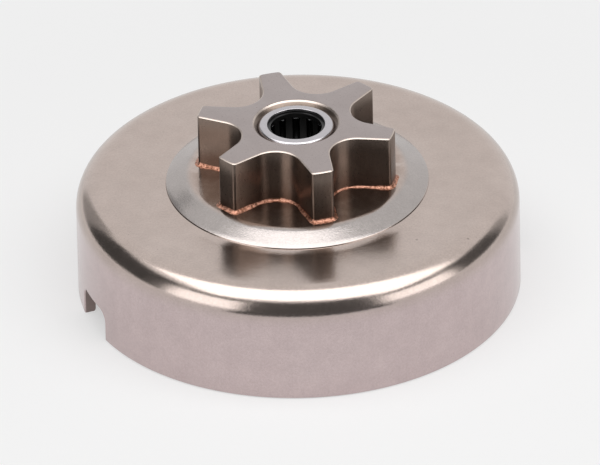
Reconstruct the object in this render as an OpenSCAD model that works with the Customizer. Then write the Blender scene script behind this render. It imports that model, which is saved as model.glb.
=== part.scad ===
// Clutch drum of a chainsaw: a drawn steel cup lying mouth down, a spur sprocket brazed on its web
// and a needle bearing pressed into the sprocket's bore. Lengths are in millimetres.
// The origin is the centre of the rim's plane, and the bore runs up the Z axis.

/* [Drum] */
// Outside diameter of the cup
drum_d = 70; // [64:0.5:80]
// Height of the flat web's upper face above the rim
drum_h = 18.6; // [16:0.1:26]
// Thickness of the drawn sheet
sheet_t = 1.9; // [1.6:0.1:2.4]
// Outer radius of the rounded shoulder
shoulder_r = 4.15; // [3.2:0.05:5]
// Bevel on both edges of the rim
rim_bevel = 0.3; // [0.1:0.05:0.5]

/* [Raised seat] */
// Height of the seat that the sprocket stands on above the web
seat_rise = 1.75; // [1.2:0.05:3]
// Width of the seat outside the braze, its rounded edge included
seat_margin = 0.85; // [0.7:0.05:1.5]
// Radius of the seat's rounded edge
seat_round_r = 3; // [1:0.1:3.5]
// Width of the slope from the seat down to the web
seat_slope_w = 3.45; // [2.5:0.05:4.5]
// Sharp little step at the foot of the slope
seat_step = 0.25; // [0.1:0.05:0.5]

/* [Rim notches] */
// Number of notches, spread evenly round the rim
notch_count = 2; // [1:1:4]
// Width of a notch
notch_w = 8.9; // [6:0.1:12]
// Height of a notch above the rim's plane
notch_h = 5; // [4.5:0.1:8]
// Radius of a notch's upper corners
notch_corner_r = 1.8; // [0.5:0.1:2.5]
// Direction of the first notch, counted from +X
notch_angle = 201.1; // [0:0.1:360]

/* [Sprocket] */
// Number of teeth
teeth = 6; // [6:1:7]
// Diameter over the tips of the teeth
tip_d = 31.5; // [30.5:0.1:32.4]
// Width of a tooth at its tip
tooth_w = 3.5; // [2.8:0.1:4]
// Rounding of the tooth's tip corners
tip_corner_r = 0.55; // [0.3:0.05:0.8]
// Radius of the round valley between two teeth
valley_r = 4.25; // [3.8:0.05:4.5]
// Diameter of the circle that touches the valleys' floors
root_d = 18.15; // [17.6:0.05:18.8]
// Height of the teeth above the seat
sprocket_h = 8.95; // [8:0.05:12]
// Direction of the first tooth, counted from +X
tooth_angle = -15.1; // [-60:0.1:60]
// Width of the bevel at the bore's mouth
bore_bevel = 0.86; // [0.4:0.02:1.2]
// Wall of the spigot that passes through the drum's web
spigot_t = 2; // [1.5:0.1:2.5]
// Length of the spigot that shows below the web
spigot_proud = 0.8; // [0.2:0.1:1.5]
// Bevel on the spigot's lower edges
spigot_bevel = 0.4; // [0.2:0.05:0.6]

/* [Braze] */
// Width of the copper bead at the foot of the teeth
bead_w = 0.7; // [0.4:0.05:1]
// Height of the copper bead
bead_h = 0.6; // [0.3:0.05:0.9]

/* [Bearing] */
// Diameter of the shaft that runs in the bearing
shaft_d = 8; // [7:0.5:8]
// Radial gap between the shaft and the rollers
shaft_gap = 0.02; // [0.01:0.01:0.05]
// Diameter of a roller
needle_d = 1.5; // [1.4:0.05:1.6]
// Length of a roller
needle_l = 7.2; // [6:0.1:8]
// Bevel on a roller's ends
needle_bevel = 0.15; // [0.05:0.05:0.3]
// Radial gap between a roller and the track it rolls on
track_gap = 0.01; // [0.01:0.01:0.03]
// Wall of the bearing's cup
cup_t = 0.47; // [0.4:0.01:0.7]
// Thickness of the cup's turned-in lips
lip_t = 0.45; // [0.35:0.05:0.6]
// Radial gap between the shaft and the lips
lip_gap = 0.55; // [0.4:0.05:0.8]
// Radius of the cup's outer corners
cup_corner_r = 0.6; // [0.3:0.05:0.9]
// Depth of the cup below the sprocket's top face
cup_depth = 0.27; // [0:0.01:0.6]

/* [Cage] */
// Radial gap between the shaft and the cage's end rings
cage_shaft_gap = 0.06; // [0.05:0.01:0.1]
// Radial gap between the cage and the cup
cage_cup_gap = 0.1; // [0.05:0.01:0.2]
// Gap between the cage and each lip of the cup
cage_end_gap = 0.1; // [0.05:0.01:0.2]
// Gap round a roller's side in its pocket
pocket_gap = 0.04; // [0.02:0.01:0.1]
// Gap at each end of a roller in its pocket
pocket_end_gap = 0.1; // [0.05:0.01:0.2]
// Radial thickness of the bars between the rollers
bar_t = 1; // [0.8:0.05:1.1]
// Thickness of the cage's end rings along the bore
ring_t = 0.75; // [0.5:0.05:1]

/* [Hidden] */
$fn = 96;
eps = 0.01;
// How far a straight line is set into the round that it touches, so that they surely meet
kiss = 0.004;
// Number of flats in the rounding of a tooth's tip corner
corner_steps = 5;
// How far a cut runs past what it cuts
outside = 4;

// Rollers, rings and cup of the bearing, from the shaft outwards
needle_count = 12;
shaft_r = shaft_d / 2;
needle_r = needle_d / 2;
needle_at = shaft_r + shaft_gap + needle_r;
track_r = needle_at + needle_r + track_gap;
bore_r = track_r + cup_t;
cage_in_r = shaft_r + cage_shaft_gap;
cage_out_r = track_r - cage_cup_gap;
pocket_l = needle_l + 2 * pocket_end_gap;
cage_l = pocket_l + 2 * ring_t;
cup_l = cage_l + 2 * (cage_end_gap + lip_t);

// The sprocket's outline
tip_r = tip_d / 2;
root_r = root_d / 2;
valley_at = root_r + valley_r;
tooth_pitch = 360 / teeth;
spigot_r = bore_r + spigot_t;

// The drum's walls
drum_r = drum_d / 2;
inner_r = drum_r - sheet_t;
seat_corner_r = tip_r + bead_w + seat_margin;
seat_foot_r = seat_corner_r + seat_slope_w;

// Heights above the rim's plane
seat_z = drum_h + seat_rise;
web_floor_z = seat_z - sheet_t;
spigot_z = web_floor_z - spigot_proud;
top_z = seat_z + sprocket_h;
cup_top_z = top_z - cup_depth;
cup_low_z = cup_top_z - cup_l;
cage_z = cup_low_z + lip_t + cage_end_gap;
pocket_z = cage_z + ring_t;
needle_z = pocket_z + pocket_end_gap;

steel = [0.68, 0.65, 0.63];
dark_steel = [0.55, 0.51, 0.5];
copper = [0.72, 0.42, 0.3];
bright_steel = [0.82, 0.82, 0.85];
cage_black = [0.07, 0.07, 0.08];
roller_steel = [0.6, 0.6, 0.62];

function polar(r, a) = [r * cos(a), r * sin(a)];

// Half section of a solid cup of radius r and height h, with a shoulder of radius c
module cup_section(r, h, c) {
  square([r, h - c]);
  square([r - c, h]);
  translate([r - c, h - c])
    circle(c);
}

// Half section of the web's rise to height z, above a face at height base
module seat_section(base, foot_r, corner_r, z) {
  polygon([
    [0, base - sheet_t / 2], [foot_r, base - sheet_t / 2], [foot_r, base + seat_step],
    [corner_r, z], [0, z]
  ]);
}

// What the rounding takes off the corner between the seat and its slope
module seat_rounding_section() {
  corner = [seat_corner_r, seat_z];
  slope = atan2(seat_rise - seat_step, seat_slope_w);
  trim = seat_round_r * tan(slope / 2);
  inner = corner - [trim, 0];
  outer = corner + polar(trim, -slope);
  difference() {
    polygon([
      inner, inner + [0, outside], corner + polar(2 * outside, 90 - slope / 2),
      outer + polar(outside, 90 - slope), outer
    ]);
    translate(inner - [0, seat_round_r])
      circle(seat_round_r);
  }
}

// What the bevel takes off one edge of the rim: side is 1 on the wall's outside, -1 on its inside
module rim_bevel_section(wall_r, side) {
  polygon([
    [wall_r - side * rim_bevel, -outside], [wall_r + side * outside, -outside],
    [wall_r + side * outside, rim_bevel], [wall_r, rim_bevel], [wall_r - side * rim_bevel, 0]
  ]);
}

module drum_section() {
  inside_h = drum_h - sheet_t;
  difference() {
    union() {
      cup_section(drum_r, drum_h, shoulder_r);
      seat_section(drum_h, seat_foot_r, seat_corner_r, seat_z);
    }
    seat_rounding_section();
    translate([0, -eps])
      cup_section(inner_r, inside_h + eps, shoulder_r - sheet_t);
    seat_section(inside_h, seat_foot_r - sheet_t / 2, seat_corner_r - sheet_t / 2, web_floor_z);
    square([2 * spigot_r, 4 * seat_z], center = true);
    rim_bevel_section(drum_r, 1);
    rim_bevel_section(inner_r, -1);
  }
}

module notch_outline() {
  translate([-notch_w / 2, -outside])
    square([notch_w, notch_h - notch_corner_r + outside]);
  translate([notch_corner_r - notch_w / 2, 0])
    square([notch_w - 2 * notch_corner_r, notch_h]);
  for (side = [-1, 1])
    translate([side * (notch_w / 2 - notch_corner_r), notch_h - notch_corner_r])
      circle(notch_corner_r);
}

module clutch_drum() {
  color(steel)
    difference() {
      rotate_extrude()
        drum_section();
      for (i = [0 : notch_count - 1])
        rotate([0, 0, notch_angle + i * 360 / notch_count])
          translate([drum_r / 2, 0, 0])
            rotate([90, 0, 90])
              linear_extrude(drum_r)
                notch_outline();
    }
}

// The space between two teeth, with its middle along +X and its walls moved in by grow
module valley(grow) {
  floor_r = valley_r - grow;
  far = tip_r + grow;
  corner_a = asin((tooth_w / 2 + grow) / far) - tooth_pitch / 2;
  corner = polar(far, corner_a);
  // a flank is the straight line from the tip's corner that touches the round floor
  to_middle = [valley_at, 0] - corner;
  reach = norm(to_middle);
  line_r = floor_r - kiss;
  flank_a = atan2(to_middle[1], to_middle[0]) + asin(line_r / reach);
  touch = corner + polar(sqrt(pow(reach, 2) - pow(line_r, 2)), flank_a);
  // the corner's rounding turns from the flank to the tip
  turn = flank_a - corner_a - 90;
  round_r = tip_corner_r + grow;
  pivot = corner + polar(round_r * tan(turn / 2), flank_a) + polar(round_r, flank_a + 90);
  rounding = [
    for (i = [0 : corner_steps]) pivot + polar(round_r, flank_a - 90 - turn * i / corner_steps)
  ];
  wall = concat([touch], rounding, [polar(far + outside, corner_a)]);
  opposite = [for (i = [len(wall) - 1 : -1 : 0]) [wall[i][0], -wall[i][1]]];
  translate([valley_at, 0])
    circle(floor_r);
  polygon(concat([[valley_at, 0]], wall, opposite));
}

module sprocket_outline(grow = 0) {
  difference() {
    circle(tip_r + grow);
    for (i = [0 : teeth - 1])
      rotate(tooth_angle + (i + 0.5) * tooth_pitch)
        valley(grow);
  }
}

module sprocket() {
  color(dark_steel)
    difference() {
      union() {
        translate([0, 0, seat_z])
          linear_extrude(sprocket_h)
            sprocket_outline();
        rotate_extrude()
          polygon([
            [0, spigot_z], [spigot_r - spigot_bevel, spigot_z], [spigot_r, spigot_z + spigot_bevel],
            [spigot_r, seat_z + eps], [0, seat_z + eps]
          ]);
      }
      rotate_extrude()
        polygon([
          [0, spigot_z - outside], [bore_r + spigot_bevel + outside, spigot_z - outside],
          [bore_r, spigot_z + spigot_bevel], [bore_r, top_z - bore_bevel],
          [bore_r + bore_bevel + outside, top_z + outside], [0, top_z + outside]
        ]);
    }
}

// The bead is widest where it meets the seat
module braze_fillet() {
  color(copper)
    translate([0, 0, seat_z])
      difference() {
        union() {
          linear_extrude(bead_h / 2)
            sprocket_outline(bead_w);
          linear_extrude(bead_h)
            sprocket_outline(bead_w / 2);
        }
        translate([0, 0, -outside])
          linear_extrude(bead_h + 2 * outside)
            sprocket_outline();
      }
}

module cup_outline() {
  translate([0, cup_corner_r])
    square([bore_r, cup_l - 2 * cup_corner_r]);
  square([bore_r - cup_corner_r, cup_l]);
  for (z = [cup_corner_r, cup_l - cup_corner_r])
    translate([bore_r - cup_corner_r, z])
      circle(cup_corner_r);
}

module bearing_cup() {
  color(bright_steel)
    translate([0, 0, cup_low_z])
      rotate_extrude()
        difference() {
          cup_outline();
          translate([-eps, lip_t])
            square([track_r + eps, cup_l - 2 * lip_t]);
          square([2 * (shaft_r + lip_gap), 4 * cup_l], center = true);
        }
}

module at_needle(i, z = 0) {
  rotate([0, 0, (i - 1) * 360 / needle_count])
    translate([needle_at, 0, z])
      children();
}

module ring_outline(in_r, out_r) {
  difference() {
    circle(out_r);
    circle(in_r);
  }
}

// Two end rings, joined by thinner bars that hold the rollers apart
module needle_cage() {
  color(cage_black) {
    for (z = [cage_z, cage_z + cage_l - ring_t])
      translate([0, 0, z])
        linear_extrude(ring_t)
          ring_outline(cage_in_r, cage_out_r);
    translate([0, 0, pocket_z - eps])
      linear_extrude(pocket_l + 2 * eps)
        difference() {
          ring_outline(needle_at - bar_t / 2, needle_at + bar_t / 2);
          for (i = [1 : needle_count])
            at_needle(i)
              circle(needle_r + pocket_gap);
        }
  }
}

module needle(i) {
  color(roller_steel)
    at_needle(i, needle_z)
      rotate_extrude()
        polygon([
          [0, 0], [needle_r - needle_bevel, 0], [needle_r, needle_bevel],
          [needle_r, needle_l - needle_bevel], [needle_r - needle_bevel, needle_l], [0, needle_l]
        ]);
}

clutch_drum();
sprocket();
braze_fillet();
bearing_cup();
needle_cage();
needle(1);  // needle_01
needle(2);  // needle_02
needle(3);  // needle_03
needle(4);  // needle_04
needle(5);  // needle_05
needle(6);  // needle_06
needle(7);  // needle_07
needle(8);  // needle_08
needle(9);  // needle_09
needle(10);  // needle_10
needle(11);  // needle_11
needle(12);  // needle_12
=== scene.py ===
"""Looks for the clutch drum: fine meshes, worn metal, a small studio."""
import math

import bmesh
import bpy
import numpy as np
from mathutils import Matrix, Vector
from mathutils.geometry import delaunay_2d_cdt


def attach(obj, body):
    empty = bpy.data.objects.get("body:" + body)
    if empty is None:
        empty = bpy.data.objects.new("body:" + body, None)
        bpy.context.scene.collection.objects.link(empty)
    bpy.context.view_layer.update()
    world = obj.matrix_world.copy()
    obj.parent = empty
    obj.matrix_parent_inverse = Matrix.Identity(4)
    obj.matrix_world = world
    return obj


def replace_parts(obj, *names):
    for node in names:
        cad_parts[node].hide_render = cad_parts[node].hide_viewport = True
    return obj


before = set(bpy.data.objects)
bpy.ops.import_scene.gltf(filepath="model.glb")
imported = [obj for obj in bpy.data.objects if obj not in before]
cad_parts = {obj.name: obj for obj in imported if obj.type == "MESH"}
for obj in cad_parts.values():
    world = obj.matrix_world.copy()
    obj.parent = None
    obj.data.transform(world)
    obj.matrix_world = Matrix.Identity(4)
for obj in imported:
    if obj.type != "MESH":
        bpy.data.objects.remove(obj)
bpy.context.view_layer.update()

MM = 0.001

# The drum, in millimetres
DRUM_R, DRUM_H, SHEET, SHOULDER = 35.0, 18.6, 1.9, 4.15
RIM_BEVEL = 0.3
SEAT_Z, SEAT_FOOT, SEAT_CORNER, SEAT_STEP, SEAT_ROUND = 20.35, 20.75, 17.3, 0.25, 3.0
NOTCH_W, NOTCH_H, NOTCH_CORNER, NOTCH_EDGE = 8.9, 5.0, 1.8, 0.16
NOTCH_ANGLES = (201.1, 21.1)

# The sprocket
TEETH, TIP_R, TOOTH_W, TIP_CORNER = 6, 15.75, 3.5, 0.55
VALLEY_R, VALLEY_AT, TOOTH_ANGLE = 4.25, 13.325, -15.1
SPROCKET_TOP, SPIGOT_R, SPIGOT_Z, SPIGOT_BEVEL = 29.3, 8.0, 17.65, 0.4
BORE_R, BORE_BEVEL, EDGE_W, EDGE_H = 6.0, 0.86, 0.22, 0.17

# The bearing
CUP_TOP, CUP_L, CUP_T, LIP_T, LIP_R, CUP_CORNER = 29.03, 10.0, 0.47, 0.45, 4.55, 0.6
NEEDLES, NEEDLE_AT, NEEDLE_R, NEEDLE_Z, NEEDLE_L = 12, 4.77, 0.75, 20.43, 7.2


# ------------------------------------------------------------------ meshes

def polar(r, deg):
    a = math.radians(deg)
    return (r * math.cos(a), r * math.sin(a))


def arc(cx, cy, r, a0, a1, n):
    """n + 1 points on a circle, from angle a0 to a1 in degrees."""
    return [
        (cx + r * math.cos(math.radians(a0 + (a1 - a0) * i / n)),
         cy + r * math.sin(math.radians(a0 + (a1 - a0) * i / n)))
        for i in range(n + 1)
    ]


def along(p, q, n):
    """n points from p up to, and without, q."""
    return [(p[0] + (q[0] - p[0]) * i / n, p[1] + (q[1] - p[1]) * i / n) for i in range(n)]


def new_object(name, verts, faces, material, sharp=35):
    me = bpy.data.meshes.new(name)
    me.from_pydata([Vector(v) * MM for v in verts], [], faces)
    return finish_mesh(name, me, material, sharp)


def finish_mesh(name, me, material, sharp=35):
    bm = bmesh.new()
    bm.from_mesh(me)
    bmesh.ops.remove_doubles(bm, verts=bm.verts, dist=1e-7)
    bmesh.ops.recalc_face_normals(bm, faces=bm.faces)
    bm.to_mesh(me)
    bm.free()
    for p in me.polygons:
        p.use_smooth = True
    me.set_sharp_from_angle(angle=math.radians(sharp))
    me.materials.clear()
    me.materials.append(material)
    obj = bpy.data.objects.new(name, me)
    bpy.context.scene.collection.objects.link(obj)
    return obj


def lathe(name, section, turns, material, sharp=35, at=(0, 0)):
    """A closed section of (radius, height) points, turned about the upright line at."""
    verts, faces, n = [], [], len(section)
    for j in range(turns):
        c, s = math.cos(2 * math.pi * j / turns), math.sin(2 * math.pi * j / turns)
        verts += [(at[0] + r * c, at[1] + r * s, z) for r, z in section]
    for j in range(turns):
        k = (j + 1) % turns
        faces += [(j * n + i, k * n + i, k * n + (i + 1) % n, j * n + (i + 1) % n) for i in range(n)]
    return new_object(name, verts, faces, material, sharp)


def skin(loops, closed=False):
    """Quads between loops of equal length; the loops themselves are closed rings."""
    n, faces = len(loops[0]), []
    last = len(loops) if closed else len(loops) - 1
    for a in range(last):
        b = (a + 1) % len(loops)
        faces += [(a * n + i, a * n + (i + 1) % n, b * n + (i + 1) % n, b * n + i) for i in range(n)]
    return [v for loop in loops for v in loop], faces


def wobble(seed, count, waves):
    """A smooth closed random curve of count values, about -1 to 1."""
    rng = np.random.default_rng(seed)
    t = np.linspace(0, 2 * math.pi, count, endpoint=False)
    out = np.zeros(count)
    for w, amount in waves:
        for k in range(max(1, int(w * 0.7)), int(w * 1.3) + 2):
            out += amount * rng.normal() * np.sin(k * t + rng.uniform(0, 2 * math.pi)) / math.sqrt(w)
    return out


# --------------------------------------------------------------- materials

def node_tree(name):
    mat = bpy.data.materials.new(name)
    mat.use_nodes = True
    nt = mat.node_tree
    return mat, nt, nt.nodes["Principled BSDF"]


class Nodes:
    """Short names for the shader nodes that the materials share. Lengths are in millimetres."""

    def __init__(self, nt):
        self.nt = nt
        coord = nt.nodes.new("ShaderNodeTexCoord")
        scale = nt.nodes.new("ShaderNodeVectorMath")
        scale.operation = "SCALE"
        scale.inputs["Scale"].default_value = 1 / MM
        nt.links.new(coord.outputs["Object"], scale.inputs[0])
        self.p = scale.outputs[0]
        parts = nt.nodes.new("ShaderNodeSeparateXYZ")
        nt.links.new(self.p, parts.inputs[0])
        self.x, self.y, self.z = parts.outputs
        normal = nt.nodes.new("ShaderNodeSeparateXYZ")
        nt.links.new(coord.outputs["Normal"], normal.inputs[0])
        self.nx, self.ny, self.nz = normal.outputs

    def _put(self, socket, value):
        if isinstance(value, bpy.types.NodeSocket):
            self.nt.links.new(value, socket)
        else:
            socket.default_value = value

    def math(self, op, a, b=0.0, c=0.0, clamp=False):
        n = self.nt.nodes.new("ShaderNodeMath")
        n.operation = op
        n.use_clamp = clamp
        for socket, value in zip(n.inputs, (a, b, c)):
            self._put(socket, value)
        return n.outputs[0]

    def add(self, a, b):
        return self.math("ADD", a, b)

    def mul(self, a, b):
        return self.math("MULTIPLY", a, b)

    def step(self, v, lo, hi, out_lo=0.0, out_hi=1.0):
        """v mapped smoothly from lo..hi to out_lo..out_hi."""
        n = self.nt.nodes.new("ShaderNodeMapRange")
        n.interpolation_type = "SMOOTHSTEP"
        for key, value in zip(("Value", "From Min", "From Max", "To Min", "To Max"),
                              (v, lo, hi, out_lo, out_hi)):
            self._put(n.inputs[key], value)
        return n.outputs["Result"]

    def radius(self):
        return self.math("SQRT", self.add(self.mul(self.x, self.x), self.mul(self.y, self.y)))

    def around(self, r):
        """Arc length round the axis at radius r."""
        return self.mul(self.math("ARCTAN2", self.y, self.x), r)

    def vec(self, x, y, z):
        n = self.nt.nodes.new("ShaderNodeCombineXYZ")
        for socket, value in zip(n.inputs, (x, y, z)):
            self._put(socket, value)
        return n.outputs[0]

    def noise(self, size, detail=3.0, rough=0.55, at=None, warp=0.0):
        """Noise whose features are about size millimetres across."""
        n = self.nt.nodes.new("ShaderNodeTexNoise")
        self._put(n.inputs["Vector"], self.p if at is None else at)
        n.inputs["Scale"].default_value = 1 / size
        n.inputs["Detail"].default_value = detail
        n.inputs["Roughness"].default_value = rough
        n.inputs["Distortion"].default_value = warp
        return n.outputs["Fac"]

    def specks(self, size, r, at=None):
        """1 in small dots of radius r, about one to a cell of size millimetres."""
        n = self.nt.nodes.new("ShaderNodeTexVoronoi")
        self._put(n.inputs["Vector"], self.p if at is None else at)
        n.inputs["Scale"].default_value = 1 / size
        return self.step(n.outputs["Distance"], r / size, 0.4 * r / size)

    def mix(self, fac, a, b):
        n = self.nt.nodes.new("ShaderNodeMix")
        n.data_type = "RGBA"
        for i, value in ((0, fac), (6, a), (7, b)):
            if isinstance(value, tuple):
                value = (*value, 1.0)
            self._put(n.inputs[i], value)
        return n.outputs[2]

    def shade(self, colour, amount):
        """colour times amount."""
        n = self.nt.nodes.new("ShaderNodeVectorMath")
        n.operation = "SCALE"
        self._put(n.inputs[0], colour)
        self._put(n.inputs["Scale"], amount)
        return n.outputs[0]

    def bump(self, height, depth, normal=None):
        """height, 0 to 1, as relief of depth millimetres."""
        n = self.nt.nodes.new("ShaderNodeBump")
        n.inputs["Strength"].default_value = 1.0
        n.inputs["Distance"].default_value = depth * MM
        self.nt.links.new(height, n.inputs["Height"])
        if normal is not None:
            self.nt.links.new(normal, n.inputs["Normal"])
        return n.outputs["Normal"]


def drum_metal():
    mat, nt, bsdf = node_tree("drum_steel")
    s = Nodes(nt)
    r = s.radius()
    lengthwise = s.vec(s.around(DRUM_R), 0.0, s.mul(s.z, 0.06))
    top = s.step(s.z, 12.8, 16.4)
    # large soft patches, fine grain and the drawing marks down the wall
    patches = s.noise(11.0, 3.0, 0.6)
    clouds = s.noise(3.2, 4.0, 0.6)
    grain = s.noise(0.32, 3.0, 0.7)
    draw = s.noise(1.1, 4.0, 0.65, at=lengthwise)
    wall_colour = s.mix(patches, (0.53, 0.43, 0.425), (0.59, 0.49, 0.485))
    top_colour = s.mix(patches, (0.455, 0.378, 0.34), (0.535, 0.452, 0.412))
    colour = s.mix(top, wall_colour, top_colour)
    burnished = s.mul(s.step(r, SEAT_FOOT + 0.1, SEAT_FOOT - 0.2), s.step(r, 16.6, 17.8))
    colour = s.mix(burnished, colour, (0.40, 0.365, 0.35))
    tone = s.add(0.86, s.mul(clouds, 0.20))
    tone = s.add(tone, s.mul(s.add(grain, -0.5), 0.30))
    wall_marks = s.mul(s.add(draw, -0.5), s.math("SUBTRACT", 0.07, s.mul(top, 0.07)))
    tone = s.add(tone, wall_marks)
    dots = s.math("MAXIMUM", s.specks(6.5, 0.28), s.specks(3.7, 0.13))
    tone = s.math("SUBTRACT", tone, s.mul(dots, 0.28))
    colour = s.shade(colour, tone)
    # brown oxide close to the brazed joint
    heat = s.mul(s.step(r, 18.0, 15.4), s.step(s.z, 20.1, 20.3))
    heat = s.mul(heat, s.step(s.noise(2.3, 3.0), 0.32, 0.6))
    colour = s.mix(s.mul(heat, 0.42), colour, (0.24, 0.155, 0.115))
    # painted shade: the hidden inner faces of the cup and the cut faces of the notches are painted dark; they
    # are also rougher
    hollow_shade_and_rough = s.mul(s.step(r, DRUM_R - 0.16, DRUM_R - 0.3), s.step(s.z, 15.9, 15.2))
    colour = s.mix(s.mul(hollow_shade_and_rough, 0.75), colour, (0.15, 0.115, 0.10))
    nt.links.new(colour, bsdf.inputs["Base Color"])
    bsdf.inputs["Metallic"].default_value = 1.0
    rough = s.add(0.11, s.mul(grain, 0.08))
    rough = s.add(rough, s.mul(clouds, 0.05))
    rough = s.add(rough, s.mul(hollow_shade_and_rough, 0.2))
    nt.links.new(rough, bsdf.inputs["Roughness"])
    relief = s.bump(grain, 0.011)
    relief = s.bump(clouds, 0.014, relief)
    relief = s.bump(draw, 0.002, relief)
    nt.links.new(relief, bsdf.inputs["Normal"])
    return mat


def sprocket_metal():
    mat, nt, bsdf = node_tree("sprocket_steel")
    s = Nodes(nt)
    grain = s.noise(0.28, 3.0, 0.7)
    clouds = s.noise(2.6, 4.0, 0.6)
    strokes = s.noise(0.22, 3.0, 0.6, at=s.vec(s.x, s.y, s.mul(s.z, 0.08)))
    up = s.step(s.nz, 0.85, 0.98)
    # painted shade: the upright flanks are painted darker and browner than the upward faces
    colour = s.mix(up, (0.235, 0.185, 0.155), (0.395, 0.345, 0.335))
    # painted highlight, partly rubbed wear: the rounded top edge is painted lighter than the top face
    worn = s.mul(s.step(s.nz, 0.25, 0.45), s.step(s.nz, 0.95, 0.85))
    colour = s.mix(s.mul(worn, s.step(s.z, 29.0, 29.08)), colour, (0.58, 0.50, 0.45))
    # painted shade: the teeth turn dark brown towards their foot on the seat, with a ragged edge
    low = s.step(s.add(s.z, s.mul(s.add(clouds, -0.5), 3.0)), 24.2, 20.8)
    colour = s.mix(s.mul(low, 0.55), colour, (0.13, 0.072, 0.05))
    tone = s.add(0.90, s.mul(s.add(grain, -0.5), 0.18))
    tone = s.add(tone, s.mul(s.add(clouds, -0.5), 0.16))
    tone = s.add(tone, s.mul(s.add(strokes, -0.5), s.add(0.22, s.mul(up, -0.2))))
    colour = s.shade(colour, tone)
    nt.links.new(colour, bsdf.inputs["Base Color"])
    bsdf.inputs["Metallic"].default_value = 1.0
    rough = s.add(0.24, s.mul(grain, 0.10))
    nt.links.new(rough, bsdf.inputs["Roughness"])
    relief = s.bump(grain, 0.005)
    relief = s.bump(strokes, 0.005, relief)
    nt.links.new(relief, bsdf.inputs["Normal"])
    return mat


def copper_metal():
    mat, nt, bsdf = node_tree("copper_braze")
    s = Nodes(nt)
    beads = s.noise(0.55, 3.0, 0.6)
    clouds = s.noise(2.4, 3.0, 0.6)
    colour = s.mix(clouds, (0.36, 0.165, 0.11), (0.58, 0.31, 0.225))
    colour = s.mix(s.step(beads, 0.56, 0.36), colour, (0.17, 0.075, 0.045))
    nt.links.new(colour, bsdf.inputs["Base Color"])
    bsdf.inputs["Metallic"].default_value = 1.0
    nt.links.new(s.add(0.24, s.mul(beads, 0.2)), bsdf.inputs["Roughness"])
    nt.links.new(s.bump(beads, 0.12), bsdf.inputs["Normal"])
    return mat


def bearing_metal():
    mat, nt, bsdf = node_tree("bearing_steel")
    s = Nodes(nt)
    r = s.radius()
    rings = s.noise(0.09, 2.0, 0.5, at=s.vec(r, 0.0, s.z))
    grain = s.noise(0.3, 3.0, 0.6)
    colour = s.mix(grain, (0.43, 0.41, 0.425), (0.53, 0.51, 0.53))
    nt.links.new(colour, bsdf.inputs["Base Color"])
    bsdf.inputs["Metallic"].default_value = 1.0
    nt.links.new(s.add(0.14, s.mul(grain, 0.12)), bsdf.inputs["Roughness"])
    relief = s.bump(rings, 0.003)
    nt.links.new(s.bump(grain, 0.003, relief), bsdf.inputs["Normal"])
    return mat


def cage_plastic():
    mat, nt, bsdf = node_tree("cage_plastic")
    s = Nodes(nt)
    grain = s.noise(0.35, 3.0, 0.6)
    # black moulded plastic, painted darker still as painted shade for the inside of the bore
    nt.links.new(s.mix(grain, (0.003, 0.003, 0.003), (0.009, 0.009, 0.0085)), bsdf.inputs["Base Color"])
    nt.links.new(s.add(0.22, s.mul(grain, 0.2)), bsdf.inputs["Roughness"])
    nt.links.new(s.bump(grain, 0.01), bsdf.inputs["Normal"])
    return mat


def roller_metal():
    mat, nt, bsdf = node_tree("roller_steel")
    s = Nodes(nt)
    grain = s.noise(0.25, 3.0, 0.6)
    # painted shade: the steel needles are painted nearly black for the shadow inside the bore
    nt.links.new(s.mix(grain, (0.035, 0.036, 0.036), (0.08, 0.08, 0.082)), bsdf.inputs["Base Color"])
    bsdf.inputs["Metallic"].default_value = 1.0
    nt.links.new(s.add(0.12, s.mul(grain, 0.12)), bsdf.inputs["Roughness"])
    return mat


# -------------------------------------------------------------------- drum

def drum_section():
    """Half section of the cup, anticlockwise from the outside of its rim."""
    pivot = (DRUM_R - SHOULDER, DRUM_H - SHOULDER)
    inner_r, inner_top = DRUM_R - SHEET, DRUM_H - SHEET
    slope = math.degrees(math.atan2(SEAT_Z - DRUM_H - SEAT_STEP, SEAT_FOOT - SEAT_CORNER))
    trim = SEAT_ROUND * math.tan(math.radians(slope / 2))
    foot = (SEAT_FOOT, DRUM_H + SEAT_STEP)
    ridge = (SEAT_CORNER - trim, SEAT_Z - SEAT_ROUND)
    ridge_start = arc(*ridge, SEAT_ROUND, 90 - slope, 90, 8)
    out = arc(DRUM_R - RIM_BEVEL, RIM_BEVEL, RIM_BEVEL, -90, 0, 4)
    out += along((DRUM_R, RIM_BEVEL), (DRUM_R, pivot[1]), 12)[1:]
    out += arc(*pivot, SHOULDER, 0, 90, 20)
    out += along((pivot[0], DRUM_H), (SEAT_FOOT + 0.12, DRUM_H), 6)[1:]
    out += [(SEAT_FOOT + 0.12, DRUM_H), (SEAT_FOOT + 0.03, DRUM_H + 0.03), (SEAT_FOOT, DRUM_H + 0.12)]
    out += arc(foot[0] - 0.1, foot[1] - 0.1, 0.1, 0, 90 - slope, 3)
    out += along(out[-1], ridge_start[0], 4)[1:]
    out += ridge_start
    out += along(out[-1], (SPIGOT_R, SEAT_Z), 5)[1:]
    out += [(SPIGOT_R, SEAT_Z), (SPIGOT_R, SEAT_Z - SHEET)]
    half = SHEET / 2
    out += along(out[-1], (SEAT_CORNER - half, SEAT_Z - SHEET), 3)[1:]
    out += [(SEAT_CORNER - half, SEAT_Z - SHEET), (SEAT_FOOT - half, inner_top + SEAT_STEP),
            (SEAT_FOOT - half, inner_top)]
    out += along(out[-1], (pivot[0], inner_top), 4)[1:]
    out += arc(*pivot, SHOULDER - SHEET, 90, 0, 12)
    out += along((inner_r, pivot[1]), (inner_r, RIM_BEVEL), 6)[1:]
    out += [(inner_r, RIM_BEVEL), (inner_r + RIM_BEVEL, 0)]
    out += along((inner_r + RIM_BEVEL, 0), (DRUM_R - RIM_BEVEL, 0), 2)[1:]
    return out


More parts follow.
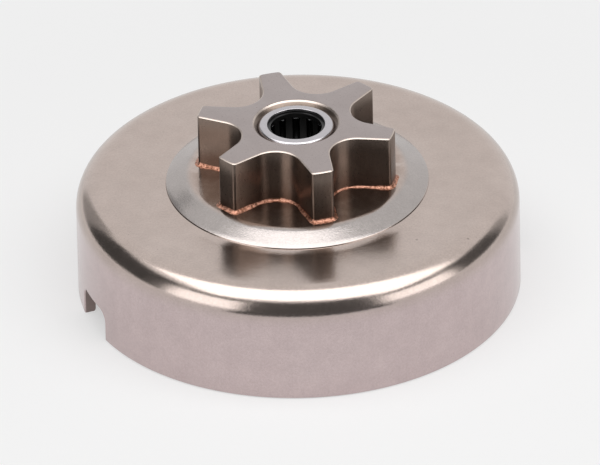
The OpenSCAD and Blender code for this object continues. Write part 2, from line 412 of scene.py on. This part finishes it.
def notch_ring(grow):
    """The notch's outline, (across, height), opened out by grow."""
    w, h, c = NOTCH_W / 2 + grow, NOTCH_H + grow, NOTCH_CORNER + grow
    side = along((w, -3.0), (w, h - c), 6)
    ring = side + arc(w - c, h - c, c, 0, 90, 10)
    ring += along((w - c, h), (c - w, h), 10)[1:]
    ring += arc(c - w, h - c, c, 90, 180, 10)
    ring += along((-w, h - c), (-w, -3.0), 6)[1:] + [(-w, -3.0)]
    ring += along((-w, -3.0), (w, -3.0), 10)[1:]
    return ring


def notch_cutter(angle):
    """A block through the wall that flares where it leaves it, so the cut has bevelled edges."""
    inner, outer, e, past = DRUM_R - SHEET, DRUM_R, NOTCH_EDGE, 1.5
    levels = [(inner - past, e + past), (inner, e), (inner + e, 0), (outer - e, 0), (outer, e),
              (outer + past, e + past)]
    loops = [
        [(math.sqrt(r * r - y * y), y, z) for y, z in notch_ring(grow)] for r, grow in levels
    ]
    verts, faces = skin(loops)
    n = len(loops[0])
    faces += [tuple(range(n)), tuple(range(len(verts) - n, len(verts)))]
    cutter = new_object("notch_cutter", verts, faces, drum_steel)
    cutter.data.transform(Matrix.Rotation(math.radians(angle), 4, "Z"))
    return cutter


def make_drum():
    drum = lathe("clutch_drum_skin", drum_section(), 512, drum_steel)
    for angle in NOTCH_ANGLES:
        cutter = notch_cutter(angle)
        cut = drum.modifiers.new("notch", "BOOLEAN")
        cut.operation, cut.solver, cut.object = "DIFFERENCE", "EXACT", cutter
        evaluated = drum.evaluated_get(bpy.context.evaluated_depsgraph_get())
        me = bpy.data.meshes.new_from_object(evaluated)
        drum.modifiers.clear()
        drum.data = me
        bpy.data.objects.remove(cutter)
    me = drum.data
    me.materials.clear()
    me.materials.append(drum_steel)
    me.set_sharp_from_angle(angle=math.radians(28))
    for p in me.polygons:
        p.use_smooth = True
    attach(drum, "drum")
    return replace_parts(drum, "clutch_drum")


# ---------------------------------------------------------------- sprocket

def tooth_outline(grow):
    """The sprocket's outline, opened out by grow: the same number of points whatever grow is."""
    pitch, floor_r, far = 360 / TEETH, VALLEY_R - grow, TIP_R + grow
    corner_a = math.degrees(math.asin((TOOTH_W / 2 + grow) / far)) - pitch / 2
    corner = polar(far, corner_a)
    to = (VALLEY_AT - corner[0], -corner[1])
    reach = math.hypot(*to)
    flank_a = math.degrees(math.atan2(to[1], to[0]) + math.asin(floor_r / reach))
    run = math.sqrt(reach ** 2 - floor_r ** 2)
    d = polar(run, flank_a)
    touch = (corner[0] + d[0], corner[1] + d[1])
    turn, round_r = flank_a - corner_a - 90, TIP_CORNER + grow
    d, e = polar(round_r * math.tan(math.radians(turn / 2)), flank_a), polar(round_r, flank_a + 90)
    pivot = (corner[0] + d[0] + e[0], corner[1] + d[1] + e[1])
    # one valley, from the middle of a tip to the middle of the next one
    tip_end = math.degrees(math.atan2(pivot[1], pivot[0]))
    half = [polar(far, -pitch / 2 + (tip_end + pitch / 2) * i / 8) for i in range(8)]
    half += arc(*pivot, round_r, flank_a - 90 - turn, flank_a - 90, 8)
    half += along(half[-1], touch, 14)[1:]
    a0 = math.degrees(math.atan2(touch[1], touch[0] - VALLEY_AT)) % 360
    floor = arc(VALLEY_AT, 0, floor_r, a0, 180, 28)
    half += floor[:-1]
    valley = half + [floor[-1]] + [(x, -y) for x, y in reversed(half[1:])]
    ring = []
    for i in range(TEETH):
        a = math.radians(TOOTH_ANGLE + (i + 0.5) * pitch)
        ring += [(x * math.cos(a) - y * math.sin(a), x * math.sin(a) + y * math.cos(a)) for x, y in valley]
    return ring


def fill_between(outer, inner, first_outer, first_inner):
    """Triangles between two rings at one height, as indices into a longer list of vertices."""
    points = [Vector(p) for p in outer + inner]
    n, m = len(outer), len(inner)
    edges = [(i, (i + 1) % n) for i in range(n)] + [(n + i, n + (i + 1) % m) for i in range(m)]
    _, _, tris, *_ = delaunay_2d_cdt(points, edges, [], 2, 1e-6)
    out = []
    for t in tris:
        c = sum((points[i] for i in t), Vector((0, 0))) / 3
        if c.length < math.hypot(*inner[0]) * 0.995:
            continue
        out.append(tuple(first_outer + i if i < n else first_inner + i - n for i in t))
    return out


def make_sprocket():
    ring_n = len(tooth_outline(0))
    loops = []
    # the outside, from the foot up, with a small worn edge at the top
    for z, grow in [(SEAT_Z, 0), (SEAT_Z + 3, 0), (SEAT_Z + 6, 0)]:
        loops.append([(x, y, z) for x, y in tooth_outline(grow)])
    for out, down in ((0, 1.12), (-0.03, 0.92), (-0.92, 0.05), (-1.1, 0)):
        grow, z = EDGE_W * out, SPROCKET_TOP - EDGE_H * down
        loops.append([(x, y, z) for x, y in tooth_outline(grow)])
    verts, faces = skin(loops)
    top_first = len(verts) - ring_n
    # the bore, from the top down, then the spigot and the underside
    turns = 256
    section = [(BORE_R + BORE_BEVEL + 0.05, SPROCKET_TOP), (BORE_R + BORE_BEVEL - 0.03, SPROCKET_TOP - 0.06),
               (BORE_R + 0.04, SPROCKET_TOP - BORE_BEVEL + 0.02), (BORE_R, SPROCKET_TOP - BORE_BEVEL - 0.05),
               (BORE_R, SPIGOT_Z + SPIGOT_BEVEL), (BORE_R + SPIGOT_BEVEL, SPIGOT_Z),
               (SPIGOT_R - SPIGOT_BEVEL, SPIGOT_Z), (SPIGOT_R, SPIGOT_Z + SPIGOT_BEVEL), (SPIGOT_R, SEAT_Z)]
    circles = [
        [(r * math.cos(2 * math.pi * i / turns), r * math.sin(2 * math.pi * i / turns), z) for i in range(turns)]
        for r, z in section
    ]
    more, more_faces = skin(circles)
    first = len(verts)
    verts += more
    faces += [tuple(first + i for i in f) for f in more_faces]
    last = len(verts) - turns
    top_ring, foot_ring = [v[:2] for v in loops[-1]], [v[:2] for v in loops[0]]
    faces += fill_between(top_ring, [c[:2] for c in circles[0]], top_first, first)
    faces += fill_between(foot_ring, [c[:2] for c in circles[-1]], 0, last)
    sprocket = new_object("sprocket_skin", verts, faces, sprocket_steel, 40)
    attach(sprocket, "drum")
    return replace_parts(sprocket, "sprocket")


def make_bead():
    """The copper run round the teeth: wider at the tips, thin in the valleys, lumpy all along."""
    base = np.array(tooth_outline(0))
    n = len(base)
    wide = np.array(tooth_outline(0.5)) - base
    normal = wide / 0.5
    r = np.hypot(base[:, 0], base[:, 1])
    tip = np.clip((r - 10.0) / 5.0, 0, 1)
    lumps = wobble(7, n, [(9, 0.14), (34, 0.16), (110, 0.12)])
    rise = wobble(11, n, [(13, 0.16), (48, 0.2)])
    side = np.degrees(np.arctan2(base[:, 0], -base[:, 1]))
    lean = np.clip(1 - np.abs(side - 50) / 24, 0, 1)
    width = np.clip(0.36 + 0.30 * tip + 0.42 * lumps - 0.2 * lean, 0.16, 0.95)
    height = np.clip(0.36 + 0.08 * tip + 0.28 * rise - 0.16 * lean, 0.16, 0.7)
    steps, sink = 7, 0.06
    loops = []
    for i in range(steps + 1):
        a = math.pi / 2 * i / steps
        # between a straight and a hollow fillet, a little swollen in the middle
        out = 1 - math.sin(a) * 0.86 - 0.14 * math.sin(a) ** 3
        up = 1 - math.cos(a) * 0.9 - 0.1 * math.cos(a) ** 3
        q = base + normal * (width * out)[:, None]
        loops.append([(x, y, SEAT_Z - sink * (i == 0) + h * up) for (x, y), h in zip(q, height)])
    inner = base - normal * 0.1
    loops.append([(x, y, SEAT_Z + h) for (x, y), h in zip(inner, height)])
    loops.append([(x, y, SEAT_Z - sink) for x, y in inner])
    verts, faces = skin(loops, closed=True)
    bead = new_object("copper_bead", verts, faces, copper_braze, 60)
    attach(bead, "drum")
    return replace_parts(bead, "braze_fillet")


# ----------------------------------------------------------------- bearing

def make_bearing():
    low, inner = CUP_TOP - CUP_L, BORE_R - CUP_T
    edge = 0.1
    out = along((BORE_R, low + CUP_CORNER), (BORE_R, CUP_TOP - CUP_CORNER), 4)
    out += arc(BORE_R - CUP_CORNER, CUP_TOP - CUP_CORNER, CUP_CORNER, 0, 90, 10)
    out += arc(LIP_R + edge, CUP_TOP - edge, edge, 90, 180, 4)
    out += arc(LIP_R + edge, CUP_TOP - LIP_T + edge, edge, 180, 270, 4)
    out += along((LIP_R + edge, CUP_TOP - LIP_T), (inner, CUP_TOP - LIP_T), 2)[1:]
    out += along((inner, CUP_TOP - LIP_T), (inner, low + LIP_T), 4)
    out += along((inner, low + LIP_T), (LIP_R + edge, low + LIP_T), 2)
    out += arc(LIP_R + edge, low + LIP_T - edge, edge, 90, 180, 4)
    out += arc(LIP_R + edge, low + edge, edge, 180, 270, 4)
    out += arc(BORE_R - CUP_CORNER, low + CUP_CORNER, CUP_CORNER, 270, 360, 10)[:-1]
    cup = lathe("bearing_cup_skin", out, 192, bearing_steel)
    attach(cup, "drum")
    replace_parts(cup, "bearing_cup")
    for i in range(NEEDLES):
        b, z0, z1 = 0.18, NEEDLE_Z, NEEDLE_Z + NEEDLE_L
        section = [(0.02, z0)] + arc(NEEDLE_R - b, z0 + b, b, -90, 0, 4) + arc(NEEDLE_R - b, z1 - b, b, 0, 90, 4)
        section += [(0.02, z1)]
        name = "needle_%02d" % (i + 1)
        roller = lathe(name + "_skin", section, 40, roller_steel, at=polar(NEEDLE_AT, i * 360 / NEEDLES))
        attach(roller, "roller_%02d" % (i + 1))
        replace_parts(roller, name)
    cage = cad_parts["needle_cage"]
    cage.data.materials.clear()
    cage.data.materials.append(cage_black)


# ------------------------------------------------------------------ studio

def emitter(name, strength, colour=(1, 1, 1)):
    mat = bpy.data.materials.new(name)
    mat.use_nodes = True
    nt = mat.node_tree
    nt.nodes.clear()
    out, glow = nt.nodes.new("ShaderNodeOutputMaterial"), nt.nodes.new("ShaderNodeEmission")
    glow.inputs["Color"].default_value = (*colour, 1)
    glow.inputs["Strength"].default_value = strength
    nt.links.new(glow.outputs[0], out.inputs["Surface"])
    return mat


def only_reflected(name, verts, faces, strength, colour=(1, 1, 1)):
    me = bpy.data.meshes.new(name)
    me.from_pydata(verts, [], faces)
    me.materials.append(emitter(name, strength, colour))
    obj = bpy.data.objects.new(name, me)
    bpy.context.scene.collection.objects.link(obj)
    for flag in ("camera", "diffuse", "transmission", "shadow", "volume_scatter"):
        setattr(obj, "visible_" + flag, False)
    return obj


def screen(name, az, el, radius, strength, colour=(1, 1, 1)):
    """A curved screen round the object that only reflections see.
    az and el are its (from, to) in degrees: azimuth from the front, to the right."""
    n, m = 24, 8
    verts, faces = [], []
    for j in range(m + 1):
        for i in range(n + 1):
            a = math.radians(az[0] + (az[1] - az[0]) * i / n)
            e = math.radians(el[0] + (el[1] - el[0]) * j / m)
            verts.append((radius * math.sin(a) * math.cos(e), -radius * math.cos(a) * math.cos(e),
                          radius * math.sin(e)))
    for j in range(m):
        faces += [(j * (n + 1) + i, j * (n + 1) + i + 1, (j + 1) * (n + 1) + i + 1, (j + 1) * (n + 1) + i)
                  for i in range(n)]
    return only_reflected(name, verts, faces, strength, colour)


def floor_card(name, az, reach, strength):
    """A card lying on the floor between two distances, that only reflections see."""
    n, verts = 24, []
    for r in reach:
        for i in range(n + 1):
            a = math.radians(az[0] + (az[1] - az[0]) * i / n)
            verts.append((r * math.sin(a), -r * math.cos(a), 0.0004))
    faces = [(i, i + 1, n + 2 + i, n + 1 + i) for i in range(n)]
    return only_reflected(name, verts, faces, strength)


def path_seen(nt):
    """1 for rays from the camera, and for those in a reflection or through glass."""
    path = nt.nodes.new("ShaderNodeLightPath")
    out = path.outputs["Is Camera Ray"]
    for name in ("Is Glossy Ray", "Is Transmission Ray"):
        n = nt.nodes.new("ShaderNodeMath")
        n.operation = "MAXIMUM"
        nt.links.new(out, n.inputs[0])
        nt.links.new(path.outputs[name], n.inputs[1])
        out = n.outputs[0]
    return out


def make_floor():
    mat, nt, bsdf = node_tree("floor_white")
    s = Nodes(nt)
    bsdf.inputs["Base Color"].default_value = (0.9, 0.9, 0.9, 1)
    bsdf.inputs["Roughness"].default_value = 0.9
    bsdf.inputs["Specular IOR Level"].default_value = 0.0
    glow, mix = nt.nodes.new("ShaderNodeEmission"), nt.nodes.new("ShaderNodeMixShader")
    glow.inputs["Strength"].default_value = 1.0
    share = s.step(s.radius(), 60.0, 260.0, 0.5, 1.0)
    nt.links.new(s.mul(path_seen(nt), share), mix.inputs[0])
    nt.links.new(bsdf.outputs[0], mix.inputs[1])
    nt.links.new(glow.outputs[0], mix.inputs[2])
    nt.links.new(mix.outputs[0], nt.nodes["Material Output"].inputs["Surface"])
    me = bpy.data.meshes.new("floor")
    rings, turns, verts, faces = (0.0, 0.05, 0.3, 1.5, 9.0), 64, [], []
    for r in rings[1:]:
        verts += [(r * math.cos(2 * math.pi * i / turns), r * math.sin(2 * math.pi * i / turns), 0)
                  for i in range(turns)]
    faces.append(tuple(range(turns)))
    for k in range(len(rings) - 2):
        faces += [(k * turns + i, (k + 1) * turns + i, (k + 1) * turns + (i + 1) % turns,
                   k * turns + (i + 1) % turns) for i in range(turns)]
    me.from_pydata(verts, [], faces)
    me.materials.append(mat)
    floor = bpy.data.objects.new("floor", me)
    floor.location.z = -0.00005
    bpy.context.scene.collection.objects.link(floor)


def make_world():
    world = bpy.data.worlds.new("studio")
    bpy.context.scene.world = world
    world.use_nodes = True
    nt = world.node_tree
    back = nt.nodes["Background"]
    back.inputs["Color"].default_value = (1, 1, 1, 1)
    n = nt.nodes.new("ShaderNodeMapRange")
    n.inputs["To Min"].default_value = 0.25
    n.inputs["To Max"].default_value = 1.0
    nt.links.new(path_seen(nt), n.inputs["Value"])
    nt.links.new(n.outputs["Result"], back.inputs["Strength"])


def area_light(name, at, size, turn, radiance, colour=(1, 1, 1)):
    """A level soft box of that radiance, turned about the upright."""
    light = bpy.data.lights.new(name, "AREA")
    light.shape, light.size, light.size_y = "RECTANGLE", size[0], size[1]
    light.energy = radiance * math.pi * size[0] * size[1]
    light.color = colour
    obj = bpy.data.objects.new(name, light)
    obj.location = at
    obj.rotation_euler.z = math.radians(turn)
    bpy.context.scene.collection.objects.link(obj)
    return obj


def make_camera():
    el, roll = 0.55582, 0.021987
    right = Vector((1, 0, 0))
    up = Vector((0, math.sin(el), math.cos(el)))
    ahead = Vector((0, math.cos(el), -math.sin(el)))
    at = right * 0.2382 + up * 7.540 - ahead * 2689.8
    x, y = right * math.cos(roll) - up * math.sin(roll), right * math.sin(roll) + up * math.cos(roll)
    cam = bpy.data.cameras.new("photo_camera")
    cam.sensor_fit, cam.sensor_width, cam.lens = "HORIZONTAL", 36.0, 1019.8
    cam.clip_start, cam.clip_end = 0.1, 50.0
    obj = bpy.data.objects.new("photo_camera", cam)
    m = Matrix((x, y, -ahead)).transposed().to_4x4()
    m.translation = at * MM
    obj.matrix_world = m
    bpy.context.scene.collection.objects.link(obj)
    bpy.context.scene.camera = obj


# --------------------------------------------------------------------- run

drum_steel, sprocket_steel, copper_braze = drum_metal(), sprocket_metal(), copper_metal()
bearing_steel, cage_black, roller_steel = bearing_metal(), cage_plastic(), roller_metal()

make_drum()
make_sprocket()
make_bead()
make_bearing()

make_floor()
make_world()
area_light("overhead", (0.10, -0.15, 0.52), (1.0, 0.5), -6.0, 1.95)
# what the metal reflects: a dark card before the object, two tall boxes beside it, dark sides
screen("front_dark", (-28, 38), (-3, 46), 1.2, 0.12)
screen("front_left_box", (-66, -31), (-3, 35), 1.2, 2.25)
screen("front_right_box", (43, 79), (-3, 27), 1.2, 2.25)
screen("front_left_gap", (-66, -31), (35, 46), 1.2, 0.25)
screen("front_right_gap", (43, 79), (27, 37), 1.2, 0.45)
screen("left_dark", (-128, -70), (-6, 44), 1.2, 0.09)
screen("left_back_dark", (-146, -128), (-6, 38), 1.2, 0.45)
screen("right_dark", (83, 118), (-6, 35), 1.2, 0.12)
screen("right_back_dark", (118, 128), (-6, 30), 1.2, 0.5)
floor_card("front_card", (-30, 38), (0.088, 1.15), 0.12)
make_camera()

bpy.context.scene.view_settings.view_transform = "Standard"
